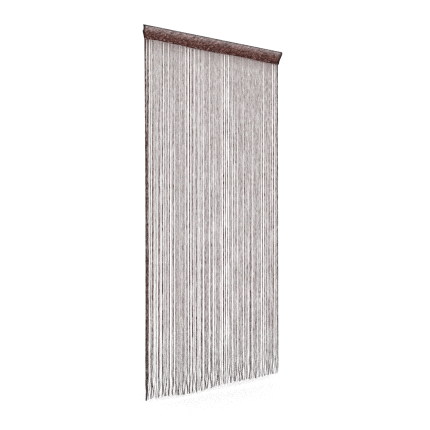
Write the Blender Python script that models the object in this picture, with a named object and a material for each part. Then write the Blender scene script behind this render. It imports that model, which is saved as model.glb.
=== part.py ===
"""A string door curtain: a ribbed heading with a rod pocket, and the strings that hang from it.

Lengths are in metres. +Z is up, +X runs along the width and the front faces -Y. The origin is
the middle of the heading's top edge. A place is measured along the width from the left edge of
the strings, and a drop is measured down from the top edge.
"""

import math
import random
from collections import namedtuple

import bmesh
import bpy
from mathutils import Vector

MM = 0.001

# The whole curtain.
STRINGS_WIDTH = 880 * MM
LEFT_EDGE = -STRINGS_WIDTH / 2
GAP_BETWEEN_PIECES = 0.4 * MM

# The heading: a band of cloth folded over into a pocket and seamed along its lower edge.
CLOTH_THICKNESS = 1.5 * MM
SEAM_SHARE = 0.88
POCKET_LEAST_HALF = 0.7 * MM
WRINKLE_PITCH = 27 * MM
WRINKLE_DEPTH = 0.8 * MM
WRINKLE_SLANT = 0.8
WRINKLED_SHARE = 0.62
WRINKLE_SEED = 7

# The strip that the strings' heads are knitted into, under the seam.
STRIP_HEIGHT = 5 * MM
STRIP_TOP_DEPTH = 3.0 * MM
STRIP_OVERHANG = 1.0 * MM

# One string, a three-sided prism that widens below its root, and how they stand side by side.
STRING_COUNT = 300
ROOT_WIDTH = 0.95 * MM
STRING_WIDTH = 1.5 * MM
STRING_DEPTH = 1.3 * MM
LAYER_OFFSET = 0.85 * MM
SAME_LAYER_PITCH = 1.95 * MM
NEXT_STRING_PITCH = 0.7 * MM
LEFT_BUNCH = 17
RIGHT_BUNCH = 5
BUNCH_PITCH = 1.4 * MM

# How far each string strays from its place, and how the panel sways out of its plane.
PARTING_REACH = 9 * MM
BUNCH_REACH = 5 * MM
STRAY = 0.12 * MM
STRAY_KEPT = 0.8
STRAY_SEED = 1
SWAY = 5 * MM
SWAY_PITCH = 330 * MM
HEM_SCATTER = 4 * MM
LOWEST_BEND = 1935 * MM

# The heading's height down to the strings and how full its pocket hangs, along the width.
HeadingRow = namedtuple("HeadingRow", "place height fullness")
HEADING = [
    HeadingRow(place=-15 * MM, height=75 * MM, fullness=0.93),
    HeadingRow(place=25 * MM, height=76 * MM, fullness=0.97),
    HeadingRow(place=68 * MM, height=72 * MM, fullness=1.00),
    HeadingRow(place=150 * MM, height=76 * MM, fullness=1.05),
    HeadingRow(place=208 * MM, height=75 * MM, fullness=0.98),
    HeadingRow(place=270 * MM, height=79 * MM, fullness=1.00),
    HeadingRow(place=420 * MM, height=81 * MM, fullness=1.04),
    HeadingRow(place=540 * MM, height=78 * MM, fullness=0.97),
    HeadingRow(place=640 * MM, height=78 * MM, fullness=1.00),
    HeadingRow(place=760 * MM, height=82 * MM, fullness=1.03),
    HeadingRow(place=840 * MM, height=83 * MM, fullness=0.97),
    HeadingRow(place=910 * MM, height=81 * MM, fullness=0.93),
]

# The pocket's section, from the top fold to the seam, as shares of the height.
SectionRow = namedtuple("SectionRow", "share half_depth")
POCKET_SECTION = [
    SectionRow(share=0.00, half_depth=1.8 * MM),
    SectionRow(share=0.04, half_depth=6.2 * MM),
    SectionRow(share=0.13, half_depth=10.6 * MM),
    SectionRow(share=0.30, half_depth=12.8 * MM),
    SectionRow(share=0.50, half_depth=10.2 * MM),
    SectionRow(share=0.73, half_depth=5.0 * MM),
    SectionRow(share=1.00, half_depth=1.7 * MM),
]

# How far the heading's cut ends reach past the strings, at each drop.
EndRow = namedtuple("EndRow", "drop reach")
LEFT_END = [
    EndRow(drop=0 * MM, reach=13 * MM),
    EndRow(drop=10 * MM, reach=8 * MM),
    EndRow(drop=22 * MM, reach=8 * MM),
    EndRow(drop=33 * MM, reach=14 * MM),
    EndRow(drop=74 * MM, reach=9 * MM),
]
RIGHT_END = [
    EndRow(drop=0 * MM, reach=25 * MM),
    EndRow(drop=18 * MM, reach=21 * MM),
    EndRow(drop=37 * MM, reach=13 * MM),
    EndRow(drop=58 * MM, reach=6 * MM),
    EndRow(drop=80 * MM, reach=2 * MM),
]

# The outermost strings, which lean in a little on their way down.
EdgeRow = namedtuple("EdgeRow", "drop left right")
STRING_EDGES = [
    EdgeRow(drop=80 * MM, left=-8 * MM, right=876 * MM),
    EdgeRow(drop=250 * MM, left=-5 * MM, right=876 * MM),
    EdgeRow(drop=500 * MM, left=-4 * MM, right=876 * MM),
    EdgeRow(drop=900 * MM, left=-2 * MM, right=876 * MM),
    EdgeRow(drop=1300 * MM, left=-1 * MM, right=876 * MM),
    EdgeRow(drop=1850 * MM, left=-2 * MM, right=877 * MM),
]

# Where the strings part, and how wide the gap is near the top, in the middle and at the bottom.
Parting = namedtuple("Parting", "place top middle low")
GATHER_DROPS = (80 * MM, 96 * MM, 1000 * MM, 1850 * MM)
PARTINGS = [
    Parting(place=6 * MM, top=3 * MM, middle=0, low=0),
    Parting(place=18 * MM, top=0, middle=3 * MM, low=2.5 * MM),
    Parting(place=24 * MM, top=3 * MM, middle=3.5 * MM, low=5 * MM),
    Parting(place=31 * MM, top=0, middle=3.5 * MM, low=1.5 * MM),
    Parting(place=34 * MM, top=3 * MM, middle=0, low=0),
    Parting(place=53 * MM, top=0, middle=1 * MM, low=8 * MM),
    Parting(place=60 * MM, top=0, middle=1.5 * MM, low=7 * MM),
    Parting(place=67 * MM, top=0, middle=5.5 * MM, low=6 * MM),
    Parting(place=71 * MM, top=1.5 * MM, middle=0, low=0),
    Parting(place=90 * MM, top=0, middle=3 * MM, low=6.5 * MM),
    Parting(place=105 * MM, top=2.2 * MM, middle=2 * MM, low=0),
    Parting(place=116 * MM, top=0, middle=5.5 * MM, low=3.5 * MM),
    Parting(place=128 * MM, top=0, middle=0, low=3.5 * MM),
    Parting(place=133 * MM, top=2.6 * MM, middle=3 * MM, low=1 * MM),
    Parting(place=147 * MM, top=0, middle=5 * MM, low=5 * MM),
    Parting(place=171 * MM, top=0, middle=2.5 * MM, low=4 * MM),
    Parting(place=189 * MM, top=0, middle=0, low=2 * MM),
    Parting(place=200 * MM, top=2 * MM, middle=2 * MM, low=1.5 * MM),
    Parting(place=237 * MM, top=2.8 * MM, middle=3 * MM, low=3 * MM),
    Parting(place=253 * MM, top=2.8 * MM, middle=3.2 * MM, low=1.5 * MM),
    Parting(place=270 * MM, top=0.8 * MM, middle=1.5 * MM, low=4.5 * MM),
    Parting(place=290 * MM, top=0, middle=2 * MM, low=5 * MM),
    Parting(place=296 * MM, top=3.6 * MM, middle=4 * MM, low=1.5 * MM),
    Parting(place=317 * MM, top=2.2 * MM, middle=4.5 * MM, low=4 * MM),
    Parting(place=321 * MM, top=1.2 * MM, middle=2 * MM, low=2 * MM),
    Parting(place=326 * MM, top=1 * MM, middle=4.5 * MM, low=5 * MM),
    Parting(place=341 * MM, top=2 * MM, middle=4 * MM, low=0),
    Parting(place=351 * MM, top=1 * MM, middle=4.5 * MM, low=5.5 * MM),
    Parting(place=390 * MM, top=2.5 * MM, middle=4.5 * MM, low=5.5 * MM),
    Parting(place=417 * MM, top=0, middle=3 * MM, low=5 * MM),
    Parting(place=430 * MM, top=0, middle=1.5 * MM, low=2 * MM),
    Parting(place=467 * MM, top=3 * MM, middle=4.5 * MM, low=4.5 * MM),
    Parting(place=474 * MM, top=1 * MM, middle=4.5 * MM, low=5.5 * MM),
    Parting(place=490 * MM, top=3.5 * MM, middle=3 * MM, low=1.5 * MM),
    Parting(place=505 * MM, top=0.8 * MM, middle=5.5 * MM, low=5.5 * MM),
    Parting(place=517 * MM, top=3 * MM, middle=4.5 * MM, low=3.5 * MM),
    Parting(place=543 * MM, top=2 * MM, middle=4.8 * MM, low=5.2 * MM),
    Parting(place=558 * MM, top=0, middle=3 * MM, low=0),
    Parting(place=576 * MM, top=0, middle=0, low=2.5 * MM),
    Parting(place=580 * MM, top=0, middle=6 * MM, low=4 * MM),
    Parting(place=601 * MM, top=0, middle=0, low=2 * MM),
    Parting(place=620 * MM, top=0, middle=2 * MM, low=4 * MM),
    Parting(place=636 * MM, top=0, middle=1.5 * MM, low=3 * MM),
    Parting(place=650 * MM, top=0, middle=0, low=1.5 * MM),
    Parting(place=656 * MM, top=0, middle=0, low=4.5 * MM),
    Parting(place=687 * MM, top=0, middle=4.5 * MM, low=3.5 * MM),
    Parting(place=702 * MM, top=1 * MM, middle=1.5 * MM, low=0),
    Parting(place=723 * MM, top=0, middle=0, low=1.5 * MM),
    Parting(place=733 * MM, top=1.5 * MM, middle=0, low=0),
    Parting(place=753 * MM, top=0, middle=5 * MM, low=5.5 * MM),
    Parting(place=768 * MM, top=1.2 * MM, middle=4.5 * MM, low=5 * MM),
    Parting(place=781 * MM, top=0, middle=2 * MM, low=3.5 * MM),
    Parting(place=796 * MM, top=0, middle=2.8 * MM, low=3.2 * MM),
    Parting(place=820 * MM, top=0.5 * MM, middle=2.4 * MM, low=1.2 * MM),
    Parting(place=834 * MM, top=2.5 * MM, middle=2.2 * MM, low=0),
    Parting(place=843 * MM, top=0, middle=0, low=3 * MM),
    Parting(place=851 * MM, top=3.5 * MM, middle=6.5 * MM, low=2.5 * MM),
    Parting(place=865 * MM, top=0, middle=0, low=2.8 * MM),
]

# Where the strings bunch, and how far those at the reach are pulled in at the same drops.
Bunch = namedtuple("Bunch", "place top middle low")
BUNCHES = [
    Bunch(place=14 * MM, top=1.5 * MM, middle=0, low=0),
    Bunch(place=36 * MM, top=0, middle=0, low=2.8 * MM),
    Bunch(place=41 * MM, top=1.2 * MM, middle=2.2 * MM, low=0),
    Bunch(place=80 * MM, top=0, middle=1.6 * MM, low=2 * MM),
    Bunch(place=98 * MM, top=0.8 * MM, middle=1.6 * MM, low=2.7 * MM),
    Bunch(place=110 * MM, top=0, middle=1.8 * MM, low=0.8 * MM),
    Bunch(place=140 * MM, top=0.5 * MM, middle=2 * MM, low=2.4 * MM),
    Bunch(place=162 * MM, top=1 * MM, middle=2 * MM, low=2.6 * MM),
    Bunch(place=220 * MM, top=1.6 * MM, middle=0.6 * MM, low=2.2 * MM),
    Bunch(place=244 * MM, top=1.2 * MM, middle=1 * MM, low=1.6 * MM),
    Bunch(place=262 * MM, top=2.2 * MM, middle=2.6 * MM, low=1.6 * MM),
    Bunch(place=281 * MM, top=1.4 * MM, middle=1.2 * MM, low=1 * MM),
    Bunch(place=306 * MM, top=0, middle=0, low=2.4 * MM),
    Bunch(place=332 * MM, top=1 * MM, middle=2.4 * MM, low=0),
    Bunch(place=338 * MM, top=0, middle=0, low=2.4 * MM),
    Bunch(place=345 * MM, top=0, middle=1 * MM, low=0),
    Bunch(place=365 * MM, top=0, middle=0, low=1.4 * MM),
    Bunch(place=404 * MM, top=0, middle=1 * MM, low=2.7 * MM),
    Bunch(place=483 * MM, top=1.4 * MM, middle=2.2 * MM, low=2.6 * MM),
    Bunch(place=497 * MM, top=1 * MM, middle=1.6 * MM, low=0),
    Bunch(place=525 * MM, top=1 * MM, middle=2.7 * MM, low=2.2 * MM),
    Bunch(place=552 * MM, top=0, middle=1.6 * MM, low=0.6 * MM),
    Bunch(place=566 * MM, top=0, middle=2 * MM, low=2.8 * MM),
    Bunch(place=629 * MM, top=0, middle=1.8 * MM, low=2.9 * MM),
    Bunch(place=671 * MM, top=0, middle=2 * MM, low=2.9 * MM),
    Bunch(place=714 * MM, top=0, middle=0, low=1.4 * MM),
    Bunch(place=735 * MM, top=0, middle=0, low=1.4 * MM),
    Bunch(place=760 * MM, top=0.8 * MM, middle=2.9 * MM, low=2.9 * MM),
    Bunch(place=774 * MM, top=0, middle=1.2 * MM, low=0),
    Bunch(place=789 * MM, top=0, middle=1.8 * MM, low=2.4 * MM),
    Bunch(place=809 * MM, top=0, middle=1.2 * MM, low=0),
    Bunch(place=827 * MM, top=0.8 * MM, middle=1.2 * MM, low=0),
    Bunch(place=836 * MM, top=0, middle=0, low=2.6 * MM),
    Bunch(place=843 * MM, top=1.2 * MM, middle=2.4 * MM, low=0),
    Bunch(place=859 * MM, top=0, middle=1.2 * MM, low=1.6 * MM),
]

# The drop of the strings' lower ends, along the width.
HemRow = namedtuple("HemRow", "place drop")
HEM = [
    HemRow(place=0 * MM, drop=2004 * MM),
    HemRow(place=160 * MM, drop=2006 * MM),
    HemRow(place=200 * MM, drop=2011 * MM),
    HemRow(place=300 * MM, drop=2014 * MM),
    HemRow(place=440 * MM, drop=2004 * MM),
    HemRow(place=500 * MM, drop=1996 * MM),
    HemRow(place=640 * MM, drop=1997 * MM),
    HemRow(place=700 * MM, drop=2003 * MM),
    HemRow(place=880 * MM, drop=1993 * MM),
]

# The drops at which a string may bend.
BEND_DROPS = (96 * MM, 700 * MM, 1350 * MM, LOWEST_BEND)


def clear_scene():
    for thing in list(bpy.data.objects):
        bpy.data.objects.remove(thing, do_unlink=True)


def yarn_material(name, colour, roughness):
    material = bpy.data.materials.new(name)
    material.use_nodes = True
    shader = material.node_tree.nodes["Principled BSDF"]
    shader.inputs["Base Color"].default_value = (*colour, 1.0)
    shader.inputs["Roughness"].default_value = roughness
    shader.inputs["Metallic"].default_value = 0.0
    material.diffuse_color = (*colour, 1.0)
    return material


def add_object(name, mesh, material):
    """Turns the bmesh into a named object of the scene."""
    bmesh.ops.recalc_face_normals(mesh, faces=mesh.faces)
    data = bpy.data.meshes.new(name)
    mesh.to_mesh(data)
    mesh.free()
    data.materials.append(material)
    item = bpy.data.objects.new(name, data)
    bpy.context.scene.collection.objects.link(item)
    return item


def on_line(points, along):
    """The value at a point along a line through (along, value) points, level past its ends."""
    if along <= points[0][0]:
        return points[0][1]
    for (start, low), (end, high) in zip(points, points[1:]):
        if along <= end:
            return low + (high - low) * (along - start) / (end - start)
    return points[-1][1]


def read_off(table, along, key, value):
    """The value column at a point along the key column, on straight lines between the rows."""
    return on_line([(getattr(row, key), getattr(row, value)) for row in table], along)


def heading_height(place):
    return read_off(HEADING, place, "place", "height")


def seam_drop(place):
    """The drop of the pocket's lower edge, which lies just above the strip."""
    return heading_height(place) - STRIP_HEIGHT - GAP_BETWEEN_PIECES


def cloth_place(share_along, drop):
    """The place of a point of the heading, whose ends are cut at a slant."""
    left = -read_off(LEFT_END, drop, "drop", "reach")
    right = STRINGS_WIDTH + read_off(RIGHT_END, drop, "drop", "reach")
    return left + (right - left) * share_along


def heading_stations():
    """Shares of the heading's length, two to each wrinkle."""
    count = round(2 * STRINGS_WIDTH / WRINKLE_PITCH)
    return [index / count for index in range(count + 1)]


def wrinkle(place, drop, share, strength):
    """How far the cloth bulges or dips where a slanting wrinkle crosses the upper part."""
    if share >= WRINKLED_SHARE:
        return 0.0
    wave = math.cos(2 * math.pi * (place + WRINKLE_SLANT * drop) / WRINKLE_PITCH)
    return WRINKLE_DEPTH * strength * wave * math.sin(math.pi * share / WRINKLED_SHARE)


def pocket_outline(share_along, strength):
    """The outer section at a station as (place, y, z), down the front and up the back."""
    front = []
    back = []
    for row in POCKET_SECTION:
        place = cloth_place(share_along, row.share * heading_height(share_along * STRINGS_WIDTH))
        drop = row.share * seam_drop(place)
        fullness = read_off(HEADING, place, "place", "fullness")
        half = row.half_depth
        if 0 < row.share < 1:
            half = half * fullness + wrinkle(place, drop, row.share, strength)
        front.append((place, -half, -drop))
        back.append((place, half, -drop))
    return front + back[::-1]


def pocket_inside(outline):
    """The same section, moved in by the cloth's thickness and closed above the seam."""
    count = len(outline)
    seam = min(z for _, _, z in outline) * SEAM_SHARE
    inside = []
    for index, (place, y, z) in enumerate(outline):
        _, y_before, z_before = outline[index - 1]
        _, y_after, z_after = outline[(index + 1) % count]
        along = Vector((y_after - y_before, z_after - z_before)).normalized()
        y_in = y - along.y * CLOTH_THICKNESS
        z_in = z + along.x * CLOTH_THICKNESS
        side = -1.0 if y < 0 else 1.0
        y_in = side * max(side * y_in, POCKET_LEAST_HALF)
        inside.append((place, y_in, max(z_in, seam)))
    return inside


def ring_of(mesh, outline):
    return [mesh.verts.new((LEFT_EDGE + place, y, z)) for place, y, z in outline]


def skin(mesh, first, second):
    """Faces between two rings of as many points."""
    count = len(first)
    for index in range(count):
        after = (index + 1) % count
        mesh.faces.new((first[index], first[after], second[after], second[index]))


def build_heading_sleeve(material):
    """A folded band, seamed below into a pocket that is open at both ends."""
    chance = random.Random(WRINKLE_SEED)
    mesh = bmesh.new()
    outer = []
    inner = []
    for share_along in heading_stations():
        outline = pocket_outline(share_along, chance.uniform(0.5, 1.4))
        outer.append(ring_of(mesh, outline))
        inner.append(ring_of(mesh, pocket_inside(outline)))
    for rings in (outer, inner):
        for first, second in zip(rings, rings[1:]):
            skin(mesh, first, second)
    skin(mesh, outer[0], inner[0])
    skin(mesh, outer[-1], inner[-1])
    return add_object("heading_sleeve", mesh, material)


def edge_places(drop, inset):
    """The outermost places at a drop, both an inset inside the panel's edges."""
    left = read_off(STRING_EDGES, drop, "drop", "left")
    right = read_off(STRING_EDGES, drop, "drop", "right")
    return left + inset, right - inset


def root_places():
    """Where the strings leave the strip: close together at both edges, even between them."""
    first, last = edge_places(0.0, STRING_WIDTH / 2)
    left = [first + BUNCH_PITCH * index for index in range(LEFT_BUNCH)]
    right = [last - BUNCH_PITCH * index for index in range(RIGHT_BUNCH)][::-1]
    between = STRING_COUNT - LEFT_BUNCH - RIGHT_BUNCH
    step = (right[0] - left[-1]) / (between + 1)
    return left + [left[-1] + step * (index + 1) for index in range(between)] + right


def at_drop(row, drop):
    """How wide a parting is, or how strong a bunch, at a drop."""
    return on_line(list(zip(GATHER_DROPS, (0.0, row.top, row.middle, row.low))), drop)


def parted(place, drop):
    """A string's place once each parting near it has pushed it aside."""
    moved = place
    for parting in PARTINGS:
        half_gap = at_drop(parting, drop) / 2
        away = place - parting.place
        reach = max(PARTING_REACH, 2 * half_gap)
        moved += math.copysign(half_gap * math.exp(-abs(away) / reach), away)
    return moved


def bunched(place, drop):
    """A string's place once each bunch near it has pulled it in."""
    moved = place
    for bunch in BUNCHES:
        away = (place - bunch.place) / BUNCH_REACH
        moved -= at_drop(bunch, drop) * away * math.exp((1 - away**2) / 2)
    return moved


def kept_apart(places, drop):
    """The places in order, moved as little as keeps the strings of each layer apart."""
    low, high = edge_places(drop, STRING_WIDTH / 2)
    apart = [min(max(place, low), high) for place in places]
    for index in range(1, len(apart)):
        least = apart[index - 1] + NEXT_STRING_PITCH
        if index > 1:
            least = max(least, apart[index - 2] + SAME_LAYER_PITCH)
        apart[index] = max(apart[index], least)
    if apart[-1] <= high:
        return apart
    apart[-1] = high
    for index in range(len(apart) - 2, -1, -1):
        most = apart[index + 1] - NEXT_STRING_PITCH
        if index < len(apart) - 2:
            most = min(most, apart[index + 2] - SAME_LAYER_PITCH)
        apart[index] = min(apart[index], most)
    return apart


def sway(place, drop):
    """How far the panel hangs out of its plane."""
    turn = 2 * math.pi * place / SWAY_PITCH
    return SWAY * (drop / LOWEST_BEND) ** 2 * math.sin(turn)


def string_courses():
    """For each string, the points that it hangs through below its root, the last at its end."""
    chance = random.Random(STRAY_SEED)
    roots = root_places()
    strays = [0.0] * STRING_COUNT
    courses = [[] for _ in roots]
    for bend in range(len(BEND_DROPS) + 1):
        at_end = bend == len(BEND_DROPS)
        drop = LOWEST_BEND if at_end else BEND_DROPS[bend]
        strays = [STRAY_KEPT * stray + chance.gauss(0, STRAY) for stray in strays]
        gathered = [bunched(parted(root, drop), drop) for root in roots]
        places = [place + stray for place, stray in zip(gathered, strays)]
        for index, place in enumerate(kept_apart(places, drop)):
            y = sway(place, drop) + (LAYER_OFFSET if index % 2 else -LAYER_OFFSET)
            down = drop
            if at_end:
                down = read_off(HEM, place, "place", "drop")
                down += chance.uniform(-HEM_SCATTER, HEM_SCATTER)
            courses[index].append(Vector((LEFT_EDGE + place, y, -down)))
    return courses


def strip_vertices(mesh, places):
    """The strip's points: its upper edge, and its lower edge with each string's three corners."""
    half_top = STRIP_TOP_DEPTH / 2
    half_low = STRING_DEPTH / 2
    ends = edge_places(0.0, -STRIP_OVERHANG)
    seam_places = [cloth_place(share, heading_height(0)) for share in heading_stations()]
    uppers = [ends[0]] + [p for p in seam_places if ends[0] < p < ends[1]] + [ends[1]]
    front_lows = [ends[0]]
    for place in places:
        front_lows += [place - ROOT_WIDTH / 2, place + ROOT_WIDTH / 2]
    front_lows.append(ends[1])
    back_lows = [ends[0], *places, ends[1]]

    def edge(along, y, drop_above):
        return [
            mesh.verts.new((LEFT_EDGE + place, y, drop_above - heading_height(place)))
            for place in along
        ]

    return (
        edge(uppers, -half_top, STRIP_HEIGHT),
        edge(uppers, half_top, STRIP_HEIGHT),
        edge(front_lows, -half_low, 0.0),
        edge(back_lows, half_low, 0.0),
    )


def wall_between(mesh, upper, lower):
    """Faces between a coarse upper edge and a fine lower one, each with its run of fine points."""
    nearest = [
        min(range(len(lower)), key=lambda index, x=point.co.x: abs(lower[index].co.x - x))
        for point in upper
    ]
    nearest[0] = 0
    nearest[-1] = len(lower) - 1
    for index in range(len(upper) - 1):
        run = lower[nearest[index] : nearest[index + 1] + 1]
        mesh.faces.new((upper[index + 1], upper[index], *run))


def build_string_panel(material):
    """The strip, and the strings drawn down from its lower face."""
    places = root_places()
    mesh = bmesh.new()
    string_of = mesh.faces.layers.int.new("string")
    front_up, back_up, front_low, back_low = strip_vertices(mesh, places)
    for index in range(len(front_up) - 1):
        mesh.faces.new(
            (front_up[index], front_up[index + 1], back_up[index + 1], back_up[index])
        )
    wall_between(mesh, front_up, front_low)
    wall_between(mesh, back_up, back_low)
    for end in (0, -1):
        mesh.faces.new((front_up[end], front_low[end], back_low[end], back_up[end]))
    for index in range(len(places) + 1):
        front_end = front_low[2 * index + 1]
        corners = (front_low[2 * index], front_end, back_low[index + 1], back_low[index])
        mesh.faces.new(corners)
    tips = []
    for index in range(len(places)):
        corners = (front_low[2 * index + 1], front_low[2 * index + 2], back_low[index + 1])
        tip = mesh.faces.new(corners)
        tip[string_of] = index
        tips.append(tip)

    courses = string_courses()
    for level in range(len(courses[0])):
        tips = bmesh.ops.extrude_discrete_faces(mesh, faces=tips)["faces"]
        widen = STRING_WIDTH / ROOT_WIDTH if level == 0 else 1.0
        for tip in tips:
            middle = tip.calc_center_median()
            target = courses[tip[string_of]][level]
            for corner in tip.verts:
                away = corner.co - middle
                corner.co = target + Vector((away.x * widen, away.y, away.z))
    return add_object("string_panel", mesh, material)


def main():
    clear_scene()
    build_heading_sleeve(yarn_material("heading_cloth", (0.10, 0.045, 0.038), 0.9))
    build_string_panel(yarn_material("string_yarn", (0.11, 0.055, 0.048), 0.9))


main()
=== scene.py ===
"""Dresses the string door curtain: knitted heading cloth, twisted yarn strings, studio and camera.

Lengths are in metres, in the part's own frame: +Z up, +X along the width, the front faces -Y, and
the origin is the middle of the heading's top edge. A place is measured along the width from the
left edge of the strings, and a drop is measured down from the top edge.
"""

import math
import random
from collections import namedtuple

import bmesh
import bpy
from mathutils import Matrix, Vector


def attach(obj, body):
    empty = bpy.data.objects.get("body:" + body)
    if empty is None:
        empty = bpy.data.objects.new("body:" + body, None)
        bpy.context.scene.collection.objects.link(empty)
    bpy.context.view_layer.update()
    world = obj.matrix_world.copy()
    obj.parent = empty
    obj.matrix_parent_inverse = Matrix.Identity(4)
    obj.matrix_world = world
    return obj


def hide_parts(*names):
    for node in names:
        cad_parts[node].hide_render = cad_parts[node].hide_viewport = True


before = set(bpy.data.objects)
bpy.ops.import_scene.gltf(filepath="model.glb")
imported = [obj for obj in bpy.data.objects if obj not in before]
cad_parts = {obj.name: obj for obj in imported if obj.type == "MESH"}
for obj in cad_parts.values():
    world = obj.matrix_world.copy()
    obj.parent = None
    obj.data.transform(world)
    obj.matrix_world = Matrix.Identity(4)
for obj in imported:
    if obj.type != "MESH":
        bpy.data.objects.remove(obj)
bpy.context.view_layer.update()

MM = 0.001

# The curtain's sizes, as the part's source states them.
STRINGS_WIDTH = 880 * MM
LEFT_EDGE = -STRINGS_WIDTH / 2
STRIP_HEIGHT = 5 * MM
WRINKLE_PITCH = 27 * MM

# The strings hang in two layers. They are close together at both edges, part and bunch at the
# light and dark lines, and stray a little from one bend to the next.
STRING_COUNT = 300
STRING_WIDTH = 1.5 * MM
LAYER_OFFSET = 0.85 * MM
SAME_LAYER_PITCH = 1.95 * MM
NEXT_STRING_PITCH = 0.7 * MM
LEFT_BUNCH = 17
RIGHT_BUNCH = 5
BUNCH_PITCH = 1.4 * MM
PARTING_REACH = 9 * MM
BUNCH_REACH = 5 * MM
STRAY = 0.12 * MM
STRAY_KEPT = 0.8
STRAY_SEED = 1
SWAY = 5 * MM
SWAY_PITCH = 330 * MM
HEM_SCATTER = 4 * MM
LOWEST_BEND = 1935 * MM

# How high the heading is at a place along the width, and how full its pocket.
HeadingRow = namedtuple("HeadingRow", "place height fullness")
HEADING = [
    HeadingRow(place=-15 * MM, height=75 * MM, fullness=0.93),
    HeadingRow(place=25 * MM, height=76 * MM, fullness=0.97),
    HeadingRow(place=68 * MM, height=72 * MM, fullness=1.00),
    HeadingRow(place=150 * MM, height=76 * MM, fullness=1.05),
    HeadingRow(place=208 * MM, height=75 * MM, fullness=0.98),
    HeadingRow(place=270 * MM, height=79 * MM, fullness=1.00),
    HeadingRow(place=420 * MM, height=81 * MM, fullness=1.04),
    HeadingRow(place=540 * MM, height=78 * MM, fullness=0.97),
    HeadingRow(place=640 * MM, height=78 * MM, fullness=1.00),
    HeadingRow(place=760 * MM, height=82 * MM, fullness=1.03),
    HeadingRow(place=840 * MM, height=83 * MM, fullness=0.97),
    HeadingRow(place=910 * MM, height=81 * MM, fullness=0.93),
]

# How far the pocket's faces are from its middle, at a share of the heading's height.
SectionRow = namedtuple("SectionRow", "share half_depth")
POCKET_SECTION = [
    SectionRow(share=0.00, half_depth=1.8 * MM),
    SectionRow(share=0.04, half_depth=6.2 * MM),
    SectionRow(share=0.13, half_depth=10.6 * MM),
    SectionRow(share=0.30, half_depth=12.8 * MM),
    SectionRow(share=0.50, half_depth=10.2 * MM),
    SectionRow(share=0.73, half_depth=5.0 * MM),
    SectionRow(share=1.00, half_depth=1.7 * MM),
]

# How far each end of the heading reaches past the strings' width at a drop.
EndRow = namedtuple("EndRow", "drop reach")
LEFT_END = [
    EndRow(drop=0 * MM, reach=13 * MM),
    EndRow(drop=10 * MM, reach=8 * MM),
    EndRow(drop=22 * MM, reach=8 * MM),
    EndRow(drop=33 * MM, reach=14 * MM),
    EndRow(drop=74 * MM, reach=9 * MM),
]
RIGHT_END = [
    EndRow(drop=0 * MM, reach=25 * MM),
    EndRow(drop=18 * MM, reach=21 * MM),
    EndRow(drop=37 * MM, reach=13 * MM),
    EndRow(drop=58 * MM, reach=6 * MM),
    EndRow(drop=80 * MM, reach=2 * MM),
]

# The places of the strings' outer edges at a drop.
EdgeRow = namedtuple("EdgeRow", "drop left right")
STRING_EDGES = [
    EdgeRow(drop=80 * MM, left=-8 * MM, right=876 * MM),
    EdgeRow(drop=250 * MM, left=-5 * MM, right=876 * MM),
    EdgeRow(drop=500 * MM, left=-4 * MM, right=876 * MM),
    EdgeRow(drop=900 * MM, left=-2 * MM, right=876 * MM),
    EdgeRow(drop=1300 * MM, left=-1 * MM, right=876 * MM),
    EdgeRow(drop=1850 * MM, left=-2 * MM, right=877 * MM),
]

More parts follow.
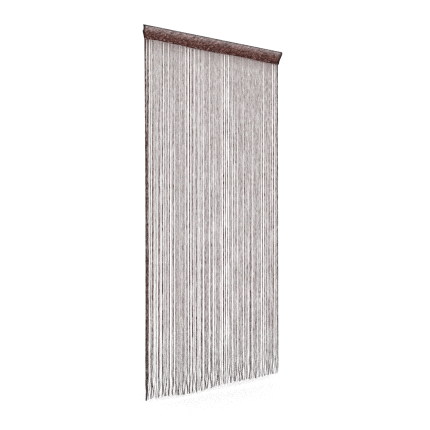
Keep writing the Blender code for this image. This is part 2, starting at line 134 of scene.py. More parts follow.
# Where a light line parts the strings, and how wide it is under the heading, half way down and
# low down. It has no width at the first of the drops, and its three widths at the others.
Parting = namedtuple("Parting", "place top middle low")
GATHER_DROPS = (80 * MM, 96 * MM, 1000 * MM, 1850 * MM)
PARTINGS = [
    Parting(place=6 * MM, top=3 * MM, middle=0, low=0),
    Parting(place=18 * MM, top=0, middle=3 * MM, low=2.5 * MM),
    Parting(place=24 * MM, top=3 * MM, middle=3.5 * MM, low=5 * MM),
    Parting(place=31 * MM, top=0, middle=3.5 * MM, low=1.5 * MM),
    Parting(place=34 * MM, top=3 * MM, middle=0, low=0),
    Parting(place=53 * MM, top=0, middle=1 * MM, low=8 * MM),
    Parting(place=60 * MM, top=0, middle=1.5 * MM, low=7 * MM),
    Parting(place=67 * MM, top=0, middle=5.5 * MM, low=6 * MM),
    Parting(place=71 * MM, top=1.5 * MM, middle=0, low=0),
    Parting(place=90 * MM, top=0, middle=3 * MM, low=6.5 * MM),
    Parting(place=105 * MM, top=2.2 * MM, middle=2 * MM, low=0),
    Parting(place=116 * MM, top=0, middle=5.5 * MM, low=3.5 * MM),
    Parting(place=128 * MM, top=0, middle=0, low=3.5 * MM),
    Parting(place=133 * MM, top=2.6 * MM, middle=3 * MM, low=1 * MM),
    Parting(place=147 * MM, top=0, middle=5 * MM, low=5 * MM),
    Parting(place=171 * MM, top=0, middle=2.5 * MM, low=4 * MM),
    Parting(place=189 * MM, top=0, middle=0, low=2 * MM),
    Parting(place=200 * MM, top=2 * MM, middle=2 * MM, low=1.5 * MM),
    Parting(place=237 * MM, top=2.8 * MM, middle=3 * MM, low=3 * MM),
    Parting(place=253 * MM, top=2.8 * MM, middle=3.2 * MM, low=1.5 * MM),
    Parting(place=270 * MM, top=0.8 * MM, middle=1.5 * MM, low=4.5 * MM),
    Parting(place=290 * MM, top=0, middle=2 * MM, low=5 * MM),
    Parting(place=296 * MM, top=3.6 * MM, middle=4 * MM, low=1.5 * MM),
    Parting(place=317 * MM, top=2.2 * MM, middle=4.5 * MM, low=4 * MM),
    Parting(place=321 * MM, top=1.2 * MM, middle=2 * MM, low=2 * MM),
    Parting(place=326 * MM, top=1 * MM, middle=4.5 * MM, low=5 * MM),
    Parting(place=341 * MM, top=2 * MM, middle=4 * MM, low=0),
    Parting(place=351 * MM, top=1 * MM, middle=4.5 * MM, low=5.5 * MM),
    Parting(place=390 * MM, top=2.5 * MM, middle=4.5 * MM, low=5.5 * MM),
    Parting(place=417 * MM, top=0, middle=3 * MM, low=5 * MM),
    Parting(place=430 * MM, top=0, middle=1.5 * MM, low=2 * MM),
    Parting(place=467 * MM, top=3 * MM, middle=4.5 * MM, low=4.5 * MM),
    Parting(place=474 * MM, top=1 * MM, middle=4.5 * MM, low=5.5 * MM),
    Parting(place=490 * MM, top=3.5 * MM, middle=3 * MM, low=1.5 * MM),
    Parting(place=505 * MM, top=0.8 * MM, middle=5.5 * MM, low=5.5 * MM),
    Parting(place=517 * MM, top=3 * MM, middle=4.5 * MM, low=3.5 * MM),
    Parting(place=543 * MM, top=2 * MM, middle=4.8 * MM, low=5.2 * MM),
    Parting(place=558 * MM, top=0, middle=3 * MM, low=0),
    Parting(place=576 * MM, top=0, middle=0, low=2.5 * MM),
    Parting(place=580 * MM, top=0, middle=6 * MM, low=4 * MM),
    Parting(place=601 * MM, top=0, middle=0, low=2 * MM),
    Parting(place=620 * MM, top=0, middle=2 * MM, low=4 * MM),
    Parting(place=636 * MM, top=0, middle=1.5 * MM, low=3 * MM),
    Parting(place=650 * MM, top=0, middle=0, low=1.5 * MM),
    Parting(place=656 * MM, top=0, middle=0, low=4.5 * MM),
    Parting(place=687 * MM, top=0, middle=4.5 * MM, low=3.5 * MM),
    Parting(place=702 * MM, top=1 * MM, middle=1.5 * MM, low=0),
    Parting(place=723 * MM, top=0, middle=0, low=1.5 * MM),
    Parting(place=733 * MM, top=1.5 * MM, middle=0, low=0),
    Parting(place=753 * MM, top=0, middle=5 * MM, low=5.5 * MM),
    Parting(place=768 * MM, top=1.2 * MM, middle=4.5 * MM, low=5 * MM),
    Parting(place=781 * MM, top=0, middle=2 * MM, low=3.5 * MM),
    Parting(place=796 * MM, top=0, middle=2.8 * MM, low=3.2 * MM),
    Parting(place=820 * MM, top=0.5 * MM, middle=2.4 * MM, low=1.2 * MM),
    Parting(place=834 * MM, top=2.5 * MM, middle=2.2 * MM, low=0),
    Parting(place=843 * MM, top=0, middle=0, low=3 * MM),
    Parting(place=851 * MM, top=3.5 * MM, middle=6.5 * MM, low=2.5 * MM),
    Parting(place=865 * MM, top=0, middle=0, low=2.8 * MM),
]

# Where a dark line bunches the strings, and how far it pulls them at the same drops.
Bunch = namedtuple("Bunch", "place top middle low")
BUNCHES = [
    Bunch(place=14 * MM, top=1.5 * MM, middle=0, low=0),
    Bunch(place=36 * MM, top=0, middle=0, low=2.8 * MM),
    Bunch(place=41 * MM, top=1.2 * MM, middle=2.2 * MM, low=0),
    Bunch(place=80 * MM, top=0, middle=1.6 * MM, low=2 * MM),
    Bunch(place=98 * MM, top=0.8 * MM, middle=1.6 * MM, low=2.7 * MM),
    Bunch(place=110 * MM, top=0, middle=1.8 * MM, low=0.8 * MM),
    Bunch(place=140 * MM, top=0.5 * MM, middle=2 * MM, low=2.4 * MM),
    Bunch(place=162 * MM, top=1 * MM, middle=2 * MM, low=2.6 * MM),
    Bunch(place=220 * MM, top=1.6 * MM, middle=0.6 * MM, low=2.2 * MM),
    Bunch(place=244 * MM, top=1.2 * MM, middle=1 * MM, low=1.6 * MM),
    Bunch(place=262 * MM, top=2.2 * MM, middle=2.6 * MM, low=1.6 * MM),
    Bunch(place=281 * MM, top=1.4 * MM, middle=1.2 * MM, low=1 * MM),
    Bunch(place=306 * MM, top=0, middle=0, low=2.4 * MM),
    Bunch(place=332 * MM, top=1 * MM, middle=2.4 * MM, low=0),
    Bunch(place=338 * MM, top=0, middle=0, low=2.4 * MM),
    Bunch(place=345 * MM, top=0, middle=1 * MM, low=0),
    Bunch(place=365 * MM, top=0, middle=0, low=1.4 * MM),
    Bunch(place=404 * MM, top=0, middle=1 * MM, low=2.7 * MM),
    Bunch(place=483 * MM, top=1.4 * MM, middle=2.2 * MM, low=2.6 * MM),
    Bunch(place=497 * MM, top=1 * MM, middle=1.6 * MM, low=0),
    Bunch(place=525 * MM, top=1 * MM, middle=2.7 * MM, low=2.2 * MM),
    Bunch(place=552 * MM, top=0, middle=1.6 * MM, low=0.6 * MM),
    Bunch(place=566 * MM, top=0, middle=2 * MM, low=2.8 * MM),
    Bunch(place=629 * MM, top=0, middle=1.8 * MM, low=2.9 * MM),
    Bunch(place=671 * MM, top=0, middle=2 * MM, low=2.9 * MM),
    Bunch(place=714 * MM, top=0, middle=0, low=1.4 * MM),
    Bunch(place=735 * MM, top=0, middle=0, low=1.4 * MM),
    Bunch(place=760 * MM, top=0.8 * MM, middle=2.9 * MM, low=2.9 * MM),
    Bunch(place=774 * MM, top=0, middle=1.2 * MM, low=0),
    Bunch(place=789 * MM, top=0, middle=1.8 * MM, low=2.4 * MM),
    Bunch(place=809 * MM, top=0, middle=1.2 * MM, low=0),
    Bunch(place=827 * MM, top=0.8 * MM, middle=1.2 * MM, low=0),
    Bunch(place=836 * MM, top=0, middle=0, low=2.6 * MM),
    Bunch(place=843 * MM, top=1.2 * MM, middle=2.4 * MM, low=0),
    Bunch(place=859 * MM, top=0, middle=1.2 * MM, low=1.6 * MM),
]

# How far down the strings end at a place along the width.
HemRow = namedtuple("HemRow", "place drop")
HEM = [
    HemRow(place=0 * MM, drop=2004 * MM),
    HemRow(place=160 * MM, drop=2006 * MM),
    HemRow(place=200 * MM, drop=2011 * MM),
    HemRow(place=300 * MM, drop=2014 * MM),
    HemRow(place=440 * MM, drop=2004 * MM),
    HemRow(place=500 * MM, drop=1996 * MM),
    HemRow(place=640 * MM, drop=1997 * MM),
    HemRow(place=700 * MM, drop=2003 * MM),
    HemRow(place=880 * MM, drop=1993 * MM),
]
BEND_DROPS = (96 * MM, 700 * MM, 1350 * MM, LOWEST_BEND)

# The camera: level, at the eye height and side angle that the photograph's lines give.
CAMERA_PLACE = Vector((-1.428, -2.488, -1.017))
CAMERA_SIDE_ANGLE = math.radians(29.67)
CAMERA_LENS = 41.6
CAMERA_SHIFT = (-0.0012, 0.0004)

# The yarn of the strings: its round section, cut into rings a step apart.
YARN_RADIUS = 0.91 * MM
YARN_SIDES = 6
YARN_STEP = 14 * MM
YARN_PIECES = 4
YARN_SEED = 11

# The heads, where the yarn is knitted into the strip.
HEAD_RADIUS = 1.2 * MM
HEAD_LENGTH = 60 * MM
HEAD_STEPS = 4

# How far the yarn wavers from its course once it hangs loose, how far it is crimped at random,
# and by what share its radius varies. The turns are in radians to the metre, along X and Y.
LOOSE_LENGTH = 400 * MM
WAVER = 0.35 * MM
WAVER_TURNS = (19, 23)
CRIMP = 0.5 * MM
SLUB = 0.2

# The kinks in the yarn's last stretch.
KINK = 3 * MM
KINK_TURNS = (62, 50)
KINK_START = 1820 * MM
KINK_STEP = 13 * MM

# The tufts that neighbouring ends cling together in. Ends that are pressed together share one.
FEWEST_IN_TUFT = 2
MOST_IN_TUFT = 6
WIDEST_IN_TUFT = 5 * MM
PRESSED = 1.6 * MM
CLING = 0.45

# How full the yarn is at a drop, as a share of its radius.
YarnRow = namedtuple("YarnRow", "drop fullness")
YARN_FULLNESS = [
    YarnRow(drop=150 * MM, fullness=1.04),
    YarnRow(drop=600 * MM, fullness=1.02),
    YarnRow(drop=1200 * MM, fullness=1.01),
    YarnRow(drop=1650 * MM, fullness=1.09),
    YarnRow(drop=1800 * MM, fullness=1.08),
    YarnRow(drop=1900 * MM, fullness=1.02),
]

# The heading's cloth: a sheet a little inside the solid's faces, in rows that are closer together
# towards the top edge.
CLOTH_THICKNESS = 1.2 * MM
CLOTH_INSET = 0.3 * MM
CLOTH_STEP = 2.2 * MM
CLOTH_ROWS = 30
ROW_CROWDING = 1.25
HEADING_LENGTH = STRINGS_WIDTH + 35 * MM

# The slanting wrinkles in the upper share of the heading.
WRINKLE_DEPTH = 0.8 * MM
WRINKLE_SLANT = 0.8
WRINKLED_SHARE = 0.62
WRINKLE_COUNT = 36
WEAKEST_WRINKLE = 0.5
STRONGEST_WRINKLE = 1.4
WRINKLE_SEED = 7

# The floor lies a little under the ends of the strings.
FLOOR_DROP = 2.03
FLOOR_SIZE = 14.0

# The light.
SURROUND_STRENGTH = 1.1
LAMP_PLACE = (-0.4, -0.6, 1.6)
LAMP_TARGET = (0, 0, 0)
LAMP_SIZE = 1.2
LAMP_POWER = 25

# The maps on which the yarn's twist and the cloth's knit are laid out.
YARN_MAP = "round_and_along"
CLOTH_MAP = "along_and_down"


def on_line(points, along):
    """The value at a point along a line through (along, value) points, level past its ends."""
    if along <= points[0][0]:
        return points[0][1]
    for (start, low), (end, high) in zip(points, points[1:]):
        if along <= end:
            return low + (high - low) * (along - start) / (end - start)
    return points[-1][1]


def on_curve(points, along):
    """As on_line, on a smooth curve through the same points."""
    if along <= points[0][0]:
        return points[0][1]
    if along >= points[-1][0]:
        return points[-1][1]
    index = next(i for i in range(1, len(points)) if along <= points[i][0])
    start, low = points[index - 1]
    end, high = points[index]
    before = points[max(0, index - 2)]
    after = points[min(len(points) - 1, index + 1)]
    slope_in = (high - before[1]) / (end - before[0])
    slope_out = (after[1] - low) / (after[0] - start)
    width = end - start
    share = (along - start) / width
    square, cube = share**2, share**3
    return (
        (2 * cube - 3 * square + 1) * low
        + (cube - 2 * square + share) * width * slope_in
        + (3 * square - 2 * cube) * high
        + (cube - square) * width * slope_out
    )


def read_off(table, along, key, value):
    """The value column at a point along the key column, on straight lines between the rows."""
    return on_line([(getattr(row, key), getattr(row, value)) for row in table], along)


def heading_height(place):
    return read_off(HEADING, place, "place", "height")


def edge_places(drop, inset):
    """The outermost places at a drop, both an inset inside the panel's edges."""
    left = read_off(STRING_EDGES, drop, "drop", "left")
    right = read_off(STRING_EDGES, drop, "drop", "right")
    return left + inset, right - inset


def root_places():
    """Where the strings leave the strip: close together at both edges, even between them."""
    first, last = edge_places(0.0, STRING_WIDTH / 2)
    left = [first + BUNCH_PITCH * index for index in range(LEFT_BUNCH)]
    right = [last - BUNCH_PITCH * index for index in range(RIGHT_BUNCH)][::-1]
    between = STRING_COUNT - LEFT_BUNCH - RIGHT_BUNCH
    step = (right[0] - left[-1]) / (between + 1)
    return left + [left[-1] + step * (index + 1) for index in range(between)] + right


def at_drop(row, drop):
    """How wide a parting is, or how strong a bunch, at a drop."""
    return on_line(list(zip(GATHER_DROPS, (0.0, row.top, row.middle, row.low))), drop)


def parted(place, drop):
    """A string's place once each parting near it has pushed it aside."""
    moved = place
    for parting in PARTINGS:
        half_gap = at_drop(parting, drop) / 2
        away = place - parting.place
        reach = max(PARTING_REACH, 2 * half_gap)
        moved += math.copysign(half_gap * math.exp(-abs(away) / reach), away)
    return moved


def bunched(place, drop):
    """A string's place once each bunch near it has pulled it in."""
    moved = place
    for bunch in BUNCHES:
        away = (place - bunch.place) / BUNCH_REACH
        moved -= at_drop(bunch, drop) * away * math.exp((1 - away**2) / 2)
    return moved


def kept_apart(places, drop):
    """The places in order, moved as little as keeps the strings of each layer apart."""
    low, high = edge_places(drop, STRING_WIDTH / 2)
    apart = [min(max(place, low), high) for place in places]
    for index in range(1, len(apart)):
        least = apart[index - 1] + NEXT_STRING_PITCH
        if index > 1:
            least = max(least, apart[index - 2] + SAME_LAYER_PITCH)
        apart[index] = max(apart[index], least)
    if apart[-1] <= high:
        return apart
    apart[-1] = high
    for index in range(len(apart) - 2, -1, -1):
        most = apart[index + 1] - NEXT_STRING_PITCH
        if index < len(apart) - 2:
            most = min(most, apart[index + 2] - SAME_LAYER_PITCH)
        apart[index] = min(apart[index], most)
    return apart


def sway(place, drop):
    """How far the panel hangs out of its plane."""
    turn = 2 * math.pi * place / SWAY_PITCH
    return SWAY * (drop / LOWEST_BEND) ** 2 * math.sin(turn)


def string_courses():
    """For each string, the points that it hangs through below its root, the last at its end."""
    chance = random.Random(STRAY_SEED)
    roots = root_places()
    strays = [0.0] * STRING_COUNT
    courses = [[] for _ in roots]
    for bend in range(len(BEND_DROPS) + 1):
        at_end = bend == len(BEND_DROPS)
        drop = LOWEST_BEND if at_end else BEND_DROPS[bend]
        strays = [STRAY_KEPT * stray + chance.gauss(0, STRAY) for stray in strays]
        gathered = [bunched(parted(root, drop), drop) for root in roots]
        places = [place + stray for place, stray in zip(gathered, strays)]
        for index, place in enumerate(kept_apart(places, drop)):
            y = sway(place, drop) + (LAYER_OFFSET if index % 2 else -LAYER_OFFSET)
            down = drop
            if at_end:
                down = read_off(HEM, place, "place", "drop")
                down += chance.uniform(-HEM_SCATTER, HEM_SCATTER)
            courses[index].append(Vector((LEFT_EDGE + place, y, -down)))
    return courses


class Recipe:
    """A material's node tree, with short ways to add its nodes."""

    def __init__(self, name):
        self.material = bpy.data.materials.new(name)
        self.material.use_nodes = True
        self.tree = self.material.node_tree
        self.shader = self.tree.nodes["Principled BSDF"]

    def node(self, kind, **settings):
        """A new node with its settings."""
        made = self.tree.nodes.new(kind)
        for key, value in settings.items():
            setattr(made, key, value)
        return made

    def link(self, source, target):
        self.tree.links.new(source, target)

    def set(self, **values):
        """Sets sockets of the shader, each named with _ for a space."""
        for key, value in values.items():
            self.shader.inputs[key.replace("_", " ")].default_value = value

    def feed(self, socket, value):
        """Gives a socket its value: a number, a colour or another node's output."""
        if isinstance(value, bpy.types.NodeSocket):
            self.link(value, socket)
        else:
            socket.default_value = value

    def math(self, operation, first, second=0.0):
        made = self.node("ShaderNodeMath", operation=operation)
        self.feed(made.inputs[0], first)
        self.feed(made.inputs[1], second)
        return made.outputs["Value"]

    def vector(self, operation, first, second):
        """As math, for places and colours."""
        made = self.node("ShaderNodeVectorMath", operation=operation)
        self.feed(made.inputs[0], first)
        self.feed(made.inputs[1], second)
        return made.outputs["Vector"]

    def scaled(self, colour, factor):
        """A colour made lighter or darker by a factor."""
        made = self.node("ShaderNodeVectorMath", operation="SCALE")
        self.feed(made.inputs[0], colour)
        self.feed(made.inputs["Scale"], factor)
        return made.outputs["Vector"]

    def axis(self, coordinate, name):
        """One axis of a coordinate."""
        made = self.node("ShaderNodeSeparateXYZ")
        self.link(coordinate, made.inputs["Vector"])
        return made.outputs[name]

    def way(self, value, start, end):
        """How far a value has come from a start to an end, as a share of the way."""
        return self.math("MULTIPLY", self.math("SUBTRACT", value, start), 1 / (end - start))

    def wave(self, value, pitch):
        """A wave that repeats with a pitch."""
        return self.math("SINE", self.math("MULTIPLY", value, 2 * math.pi / pitch))

    def mapped(self, name):
        """The place on one of the pieces' own maps."""
        return self.node("ShaderNodeUVMap", uv_map=name).outputs["UV"]

    def object_place(self):
        """The place in the part's own frame."""
        return self.node("ShaderNodeTexCoord").outputs["Object"]

    def noise(self, coordinate, scale, detail):
        made = self.node("ShaderNodeTexNoise")
        made.inputs["Scale"].default_value = scale
        made.inputs["Detail"].default_value = detail
        self.link(coordinate, made.inputs["Vector"])
        return made.outputs["Fac"]

    def turned(self, coordinate, angle):
        """A coordinate turned about the Y axis."""
        made = self.node("ShaderNodeVectorRotate", rotation_type="Y_AXIS")
        self.link(coordinate, made.inputs["Vector"])
        made.inputs["Angle"].default_value = angle
        return made.outputs["Vector"]

    def ramp(self, factor, stops):
        """The colour at a factor, by a list of stops, each a position and its colour."""
        made = self.node("ShaderNodeValToRGB")
        elements = made.color_ramp.elements
        while len(elements) < len(stops):
            elements.new(0.5)
        for element, (position, colour) in zip(elements, stops):
            element.position = position
            element.color = (*colour, 1.0)
        self.link(factor, made.inputs["Fac"])
        return made.outputs["Color"]

    def bump(self, height, distance, strength):
        """Gives the shader a relief."""
        made = self.node("ShaderNodeBump")
        made.inputs["Distance"].default_value = distance
        made.inputs["Strength"].default_value = strength
        self.link(height, made.inputs["Height"])
        self.link(made.outputs["Normal"], self.shader.inputs["Normal"])


# The yarn's colour at each tone.
ToneRow = namedtuple("ToneRow", "tone colour")
YARN_COLOURS = [
    ToneRow(tone=0.34, colour=(0.042, 0.022, 0.019)),
    ToneRow(tone=0.50, colour=(0.120, 0.054, 0.045)),
    ToneRow(tone=0.68, colour=(0.290, 0.160, 0.136)),
]

# What the yarn's colour is multiplied by at a drop, and at a place along the width, where it paints
# the shade of the dense bunches at both edges.
UNTINTED = (1.0, 1.0, 1.0)
DropTint = namedtuple("DropTint", "drop tint")
ENDS_TINTS = [
    DropTint(drop=1500 * MM, tint=UNTINTED),
    DropTint(drop=LOWEST_BEND, tint=(0.70, 0.90, 0.95)),
]
PlaceTint = namedtuple("PlaceTint", "place tint")
# Painted shade: the yarn in the dense bunches at both edges is darker, where it shades itself.
EDGE_SHADE_TINTS = [
    PlaceTint(place=0 * MM, tint=(0.84, 0.98, 1.00)),
    PlaceTint(place=28 * MM, tint=UNTINTED),
    PlaceTint(place=866 * MM, tint=UNTINTED),
    PlaceTint(place=872 * MM, tint=(0.50, 0.62, 0.66)),
]

# The yarn's twist, and how much it and the patches along the yarn show in its tone.
PLIES = 2
PLY_PITCH = 5 * MM
PLY_DEPTH = 0.2 * MM
PLY_TONE = 0.16
PATCH_SCALE = 90.0

# The cloth's colour at a drop, stated over a stretch a little higher than the heading: a dark fold
# line at the top, a pale band under it that is a painted sheen of the light from above, and the
# cloth's own red-brown, darkened by painted shade towards the seam.
ClothRow = namedtuple("ClothRow", "drop colour")
COLOURED_HEIGHT = 100 * MM
CLOTH_SHEEN_AND_SHADE = [
    ClothRow(drop=0 * MM, colour=(0.020, 0.016, 0.016)),
    ClothRow(drop=6.8 * MM, colour=(0.030, 0.024, 0.024)),
    ClothRow(drop=12.5 * MM, colour=(0.180, 0.150, 0.152)),
    ClothRow(drop=18 * MM, colour=(0.207, 0.156, 0.154)),
    ClothRow(drop=32 * MM, colour=(0.156, 0.093, 0.087)),
    ClothRow(drop=46 * MM, colour=(0.080, 0.028, 0.022)),
    ClothRow(drop=57 * MM, colour=(0.088, 0.030, 0.023)),
    ClothRow(drop=66 * MM, colour=(0.050, 0.012, 0.010)),
]

# The slanting streaks that lighten and darken the cloth, and the light flecks on it.
STREAK_SLANT = math.radians(25)
STREAK_STRETCH = (0.16, 1.0, 1.0)
STREAK_SCALE = 190.0
STREAK_CONTRAST = 4.4
STREAK_SHADE = 1.2
DARKEST_STREAK = 0.3
FLECK_STRETCH = (0.6, 1.0, 1.0)
FLECK_SCALE = 210.0
FLECK_CONTRAST = 6.5
FLECK_SHADE = 3.5
FLECK_COLOUR = (0.30, 0.20, 0.19)

# The dark rims at the heading's cut ends.
LEFT_RIM = 6 * MM
RIGHT_RIM = 22 * MM
RIM_FALL = 2.0
RIM_SHADE = 0.05

# The relief of the knit, whose wales run down and whose courses run along, and of the streaks.
KNIT_HEIGHT = 85 * MM
WALE_PITCH = 2.9 * MM
COURSE_PITCH = 2.1 * MM
KNIT_RELIEF = 0.25
STREAK_RELIEF = 2.0
RELIEF_DEPTH = 0.9 * MM

# The floor is white, in faint patches.
FLOOR_COLOURS = [
    ToneRow(tone=0.3, colour=(0.97, 0.97, 0.97)),
    ToneRow(tone=0.7, colour=(0.98, 0.98, 0.98)),
]
FLOOR_PATCH_SCALE = 3.0


def yarn_material():
    """Brown twisted yarn in darker and lighter lengths, tinted near its end, with painted shade at
    the edges.
    """
    recipe = Recipe("brown_string_yarn")
    on_yarn = recipe.mapped(YARN_MAP)
    plies = recipe.math("MULTIPLY", recipe.axis(on_yarn, "X"), PLIES)
    turns = recipe.math("MULTIPLY", recipe.axis(on_yarn, "Y"), 1 / PLY_PITCH)
    twist = recipe.wave(recipe.math("ADD", plies, turns), pitch=1.0)
    place = recipe.object_place()
    patches = recipe.noise(place, PATCH_SCALE, detail=3.0)
    tone = recipe.math("ADD", recipe.math("MULTIPLY", twist, PLY_TONE), patches)
    colour = recipe.ramp(tone, YARN_COLOURS)
    drop = recipe.math("MULTIPLY", recipe.axis(place, "Z"), -1.0)
    down = recipe.way(drop, ENDS_TINTS[0].drop, ENDS_TINTS[-1].drop)
    down_tint = recipe.ramp(down, [(0.0, ENDS_TINTS[0].tint), (1.0, ENDS_TINTS[-1].tint)])
    # Painted shade darkens the yarn in the dense bunches at both edges.
    across = recipe.way(recipe.axis(place, "X"), LEFT_EDGE, LEFT_EDGE + STRINGS_WIDTH)
    edge_shade = recipe.ramp(across, [(row.place / STRINGS_WIDTH, row.tint) for row in EDGE_SHADE_TINTS])
    tint = recipe.vector("MULTIPLY", down_tint, edge_shade)
    recipe.link(recipe.vector("MULTIPLY", colour, tint), recipe.shader.inputs["Base Color"])
    recipe.bump(twist, PLY_DEPTH, strength=0.8)
    recipe.set(Roughness=0.95, Specular_IOR_Level=0.03)
    return recipe.material


def rim_shade(recipe, along):
    """How light the cloth is near its cut ends, as a share."""
    to_right = recipe.math("SUBTRACT", HEADING_LENGTH, along)
    from_left = recipe.math("MULTIPLY", along, 1 / LEFT_RIM)
    from_right = recipe.math("MULTIPLY", to_right, 1 / RIGHT_RIM)
    from_end = recipe.math("MINIMUM", from_left, from_right)
    from_end = recipe.math("POWER", from_end, RIM_FALL)
    return recipe.math("MINIMUM", recipe.math("ADD", from_end, RIM_SHADE), 1.0)


def contrasted(recipe, value, contrast, shade, least):
    """A noise with more contrast, made darker by a shade, and never under the least."""
    spread = recipe.math("MULTIPLY", value, contrast)
    return recipe.math("MAXIMUM", recipe.math("SUBTRACT", spread, shade), least)


def cloth_material():
    """Knitted cloth: a dark fold line, a painted sheen under it, painted shade deepening towards
    the seam, streaked along.
    """
    recipe = Recipe("brown_heading_knit")
    place = recipe.object_place()
    drop = recipe.math("MULTIPLY", recipe.axis(place, "Z"), -1 / COLOURED_HEIGHT)
    # The colour by drop paints the sheen of the light from above and the shade towards the seam.
    painted_sheen_and_shade = recipe.ramp(drop, [(row.drop / COLOURED_HEIGHT, row.colour) for row in CLOTH_SHEEN_AND_SHADE])
    slanting = recipe.turned(place, STREAK_SLANT)
    streaky = recipe.vector("MULTIPLY", slanting, STREAK_STRETCH)
    streaks = recipe.noise(streaky, STREAK_SCALE, detail=3.0)
    flecky = recipe.vector("MULTIPLY", place, FLECK_STRETCH)
    specks = recipe.noise(flecky, FLECK_SCALE, detail=3.0)
    tone = contrasted(recipe, streaks, STREAK_CONTRAST, STREAK_SHADE, DARKEST_STREAK)
    flecks = contrasted(recipe, specks, FLECK_CONTRAST, FLECK_SHADE, 0.0)
    on_cloth = recipe.mapped(CLOTH_MAP)
    along = recipe.axis(on_cloth, "X")
    rim = rim_shade(recipe, along)
    light = recipe.scaled(FLECK_COLOUR, recipe.math("MULTIPLY", flecks, rim))
    ground = recipe.scaled(painted_sheen_and_shade, recipe.math("MULTIPLY", tone, rim))
    recipe.link(recipe.vector("ADD", ground, light), recipe.shader.inputs["Base Color"])
    wales = recipe.wave(along, WALE_PITCH)
    courses = recipe.wave(recipe.axis(on_cloth, "Y"), COURSE_PITCH)
    knit = recipe.math("MULTIPLY", recipe.math("ADD", wales, courses), KNIT_RELIEF)
    relief = recipe.math("ADD", knit, recipe.math("MULTIPLY", streaks, STREAK_RELIEF))
    recipe.bump(relief, RELIEF_DEPTH, strength=0.9)
    recipe.set(Roughness=0.9, Sheen_Weight=0.05, Sheen_Roughness=0.5)
    recipe.set(Sheen_Tint=(0.9, 0.86, 0.86, 1.0), Specular_IOR_Level=0.08)
    return recipe.material


def floor_material():
    """White, in faint patches."""
    recipe = Recipe("white_floor")
    tone = recipe.noise(recipe.object_place(), FLOOR_PATCH_SCALE, detail=2.0)
    recipe.link(recipe.ramp(tone, FLOOR_COLOURS), recipe.shader.inputs["Base Color"])
    recipe.set(Roughness=0.9)
    return recipe.material


def add_piece(name, mesh, material):
    """Turns the bmesh into a smooth piece that rides with the curtain."""
    data = bpy.data.meshes.new(name)
    mesh.to_mesh(data)
    mesh.free()
    data.materials.append(material)
    data.shade_smooth()
    piece = bpy.data.objects.new(name, data)
    bpy.context.scene.collection.objects.link(piece)
    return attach(piece, "root")


def fill_grid(mesh, layer, grid):
    """Faces between the lines of a grid, whose points are each a vertex and its place on a map."""
    for before, after in zip(grid, grid[1:]):
        for index in range(len(before) - 1):
            corners = (before[index], after[index], after[index + 1], before[index + 1])
            face = mesh.faces.new([vertex for vertex, _ in corners])
            for loop, (_, on_map) in zip(face.loops, corners):
                loop[layer].uv = on_map


def close_steps(start, end, step):
    """Drops from the start to just before the end, about a step apart."""
    count = round((end - start) / step)
    return [start + (end - start) * index / count for index in range(count)]


# The middle of a tuft, and the phases of the kinks that its strings share.
Tuft = namedtuple("Tuft", "middle phases")


def tufts(courses, chance):
    """For each string, the tuft of neighbours that its end clings to, never across a parting."""
    ends = [course[-1].x for course in courses]
    groups = [[ends[0]]]
    most = chance.randint(FEWEST_IN_TUFT, MOST_IN_TUFT)
    for before, end in zip(ends, ends[1:]):
        full = len(groups[-1]) >= most and end - before > PRESSED
        if full or end - before > WIDEST_IN_TUFT:
            groups.append([])
            most = chance.randint(FEWEST_IN_TUFT, MOST_IN_TUFT)
        groups[-1].append(end)
    found = []
    for group in groups:
        phases = [chance.uniform(0, 2 * math.pi) for _ in range(2)]
        found += [Tuft(sum(group) / len(group), phases)] * len(group)
    return found


def string_points(root, course, tuft, chance):
    """A string's centreline as (drop, x, y) at close steps: crimped, and kinked near its end."""
    top = heading_height(root) - STRIP_HEIGHT / 2
    knots = [(top, LEFT_EDGE + root, 0.0)] + [(-point.z, point.x, point.y) for point in course]
    xs = [(drop, x) for drop, x, _ in knots]
    ys = [(drop, y) for drop, _, y in knots]
    end = knots[-1][0]
    drops = close_steps(top, KINK_START, YARN_STEP) + close_steps(KINK_START, end, KINK_STEP)
    phases = [chance.uniform(0, 2 * math.pi) for _ in range(2)]
    points = []
    for drop in [*drops, end]:
        loose = min(1.0, (drop - top) / LOOSE_LENGTH)
        kinked = max(0.0, (drop - KINK_START) / (end - KINK_START))
        x = on_curve(xs, drop) + loose * WAVER * math.sin(drop * WAVER_TURNS[0] + phases[0])
        y = on_curve(ys, drop) + loose * WAVER * math.sin(drop * WAVER_TURNS[1] + phases[1])
        x += chance.uniform(-CRIMP, CRIMP)
        y += chance.uniform(-CRIMP, CRIMP)
        x += CLING * kinked**2 * (tuft.middle - x)
        x += KINK * kinked * math.sin(drop * KINK_TURNS[0] + tuft.phases[0])
        y += KINK * kinked * math.sin(drop * KINK_TURNS[1] + tuft.phases[1])
        points.append((drop, x, y))
    drops = close_steps(top, top + HEAD_LENGTH, HEAD_LENGTH / HEAD_STEPS)
    head = [(drop, on_curve(xs, drop), on_curve(ys, drop)) for drop in drops]
    return head + [point for point in points if point[0] > top + HEAD_LENGTH]


def add_string(mesh, layer, points, chance):
    """An uneven tube round the centreline, thick where the string is knitted into its head."""
    top = points[0][0]
    rings = []
    for drop, x, y in points:
        share = min(1.0, (drop - top) / HEAD_LENGTH)
        radius = HEAD_RADIUS + (YARN_RADIUS - HEAD_RADIUS) * share
        radius *= read_off(YARN_FULLNESS, drop, "drop", "fullness")
        radius *= 1 + share * chance.uniform(-SLUB, SLUB)
        ring = []
        for side in range(YARN_SIDES):
            angle = 2 * math.pi * side / YARN_SIDES
            corner = (x + radius * math.cos(angle), y + radius * math.sin(angle), -drop)
            ring.append((mesh.verts.new(corner), (side / YARN_SIDES, drop)))
        rings.append([*ring, (ring[0][0], (1.0, drop))])
    fill_grid(mesh, layer, rings)
    first, last = ([vertex for vertex, _ in ring[:-1]] for ring in (rings[0], rings[-1]))
    mesh.faces.new(first)
    mesh.faces.new(last[::-1])


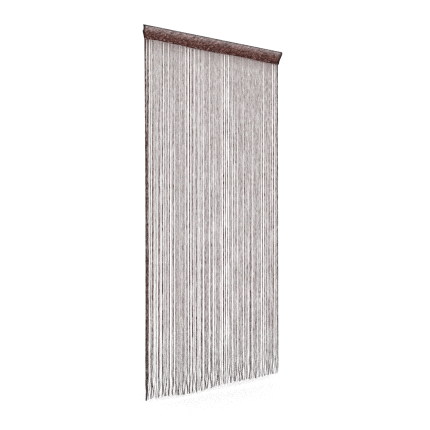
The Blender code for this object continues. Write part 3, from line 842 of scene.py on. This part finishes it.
def build_strings(material):
    """The strings, in a few pieces from left to right, in place of the plain ones."""
    chance = random.Random(YARN_SEED)
    roots = root_places()
    courses = string_courses()
    ends = tufts(courses, chance)
    in_piece = STRING_COUNT // YARN_PIECES
    for number in range(YARN_PIECES):
        mesh = bmesh.new()
        layer = mesh.loops.layers.uv.new(YARN_MAP)
        for index in range(number * in_piece, (number + 1) * in_piece):
            points = string_points(roots[index], courses[index], ends[index], chance)
            add_string(mesh, layer, points, chance)
        piece = add_piece(f"strings_{number + 1}", mesh, material)
        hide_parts("string_panel")


def cloth_place(share_along, drop):
    """The place of a point of the heading, whose ends are cut at a slant."""
    left = -read_off(LEFT_END, drop, "drop", "reach")
    right = STRINGS_WIDTH + read_off(RIGHT_END, drop, "drop", "reach")
    return left + (right - left) * share_along


def wrinkle(place, drop, share, strength):
    """How far the cloth bulges or dips where a slanting wrinkle crosses the upper part."""
    if share >= WRINKLED_SHARE:
        return 0.0
    wave = math.cos(2 * math.pi * (place + WRINKLE_SLANT * drop) / WRINKLE_PITCH)
    return WRINKLE_DEPTH * strength * wave * math.sin(math.pi * share / WRINKLED_SHARE)


def cloth_point(share_along, row, strengths):
    """A point of the cloth in a row, which counts from the top edge, below zero at the back."""
    side = 1.0 if row < 0 else -1.0
    share = (abs(row) / CLOTH_ROWS) ** ROW_CROWDING
    rough_place = share_along * STRINGS_WIDTH
    place = cloth_place(share_along, share * heading_height(rough_place))
    drop = share * heading_height(place)
    half = on_curve([(at.share, at.half_depth) for at in POCKET_SECTION], share)
    if share < 1:
        half *= read_off(HEADING, place, "place", "fullness")
    half += wrinkle(place, drop, share, on_line(strengths, place))
    half -= CLOTH_INSET
    if row == 0:
        half = 0.0
    return LEFT_EDGE + place, side * half, -drop


def build_heading(material):
    """One band of cloth, up the back, over the top and down the front, open at both ends."""
    chance = random.Random(WRINKLE_SEED)
    strengths = [
        (index * WRINKLE_PITCH, chance.uniform(WEAKEST_WRINKLE, STRONGEST_WRINKLE))
        for index in range(-1, WRINKLE_COUNT)
    ]
    mesh = bmesh.new()
    layer = mesh.loops.layers.uv.new(CLOTH_MAP)
    columns = round(HEADING_LENGTH / CLOTH_STEP)
    grid = []
    for column in range(columns + 1):
        share_along = column / columns
        line = []
        for row in range(-CLOTH_ROWS, CLOTH_ROWS + 1):
            vertex = mesh.verts.new(cloth_point(share_along, row, strengths))
            on_map = (share_along * HEADING_LENGTH, row / CLOTH_ROWS * KNIT_HEIGHT)
            line.append((vertex, on_map))
        grid.append(line)
    fill_grid(mesh, layer, grid)
    bmesh.ops.recalc_face_normals(mesh, faces=mesh.faces)
    piece = add_piece("heading_cloth", mesh, material)
    thick = piece.modifiers.new("cloth_thickness", "SOLIDIFY")
    thick.thickness = CLOTH_THICKNESS
    thick.offset = -1.0
    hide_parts("heading_sleeve")


def build_stage():
    """The floor under the curtain."""
    bpy.ops.mesh.primitive_plane_add(size=FLOOR_SIZE, location=(0, 0, -FLOOR_DROP))
    floor = bpy.context.object
    floor.name = "floor"
    floor.data.materials.append(floor_material())


def build_camera():
    """The camera, level and turned to the curtain's side."""
    data = bpy.data.cameras.new("camera")
    data.lens = CAMERA_LENS
    data.shift_x, data.shift_y = CAMERA_SHIFT
    camera = bpy.data.objects.new("camera", data)
    camera.location = CAMERA_PLACE
    camera.rotation_euler = (math.pi / 2, 0.0, -CAMERA_SIDE_ANGLE)
    bpy.context.scene.collection.objects.link(camera)
    bpy.context.scene.camera = camera


def add_light(name, place, target, size, power):
    """A round lamp that faces its target."""
    data = bpy.data.lights.new(name, "AREA")
    data.shape = "DISK"
    data.size = size
    data.energy = power
    light = bpy.data.objects.new(name, data)
    light.location = place
    light.rotation_euler = (Vector(target) - Vector(place)).to_track_quat("-Z", "Y").to_euler()
    bpy.context.scene.collection.objects.link(light)


def build_light():
    """A white surround, and a broad lamp above that leaves the heading's lower half darker, on top
    of the shade painted into the cloth's colour.
    """
    world = bpy.data.worlds.new("white_surround")
    world.use_nodes = True
    background = world.node_tree.nodes["Background"]
    background.inputs["Color"].default_value = (1.0, 1.0, 1.0, 1.0)
    background.inputs["Strength"].default_value = SURROUND_STRENGTH
    bpy.context.scene.world = world
    add_light("top_lamp", LAMP_PLACE, LAMP_TARGET, LAMP_SIZE, LAMP_POWER)
    bpy.context.scene.view_settings.view_transform = "Standard"
    bpy.context.scene.cycles.use_denoising = False
    bpy.context.scene.cycles.filter_width = 1.3


def main():
    build_camera()
    build_strings(yarn_material())
    build_heading(cloth_material())
    build_stage()
    build_light()


main()
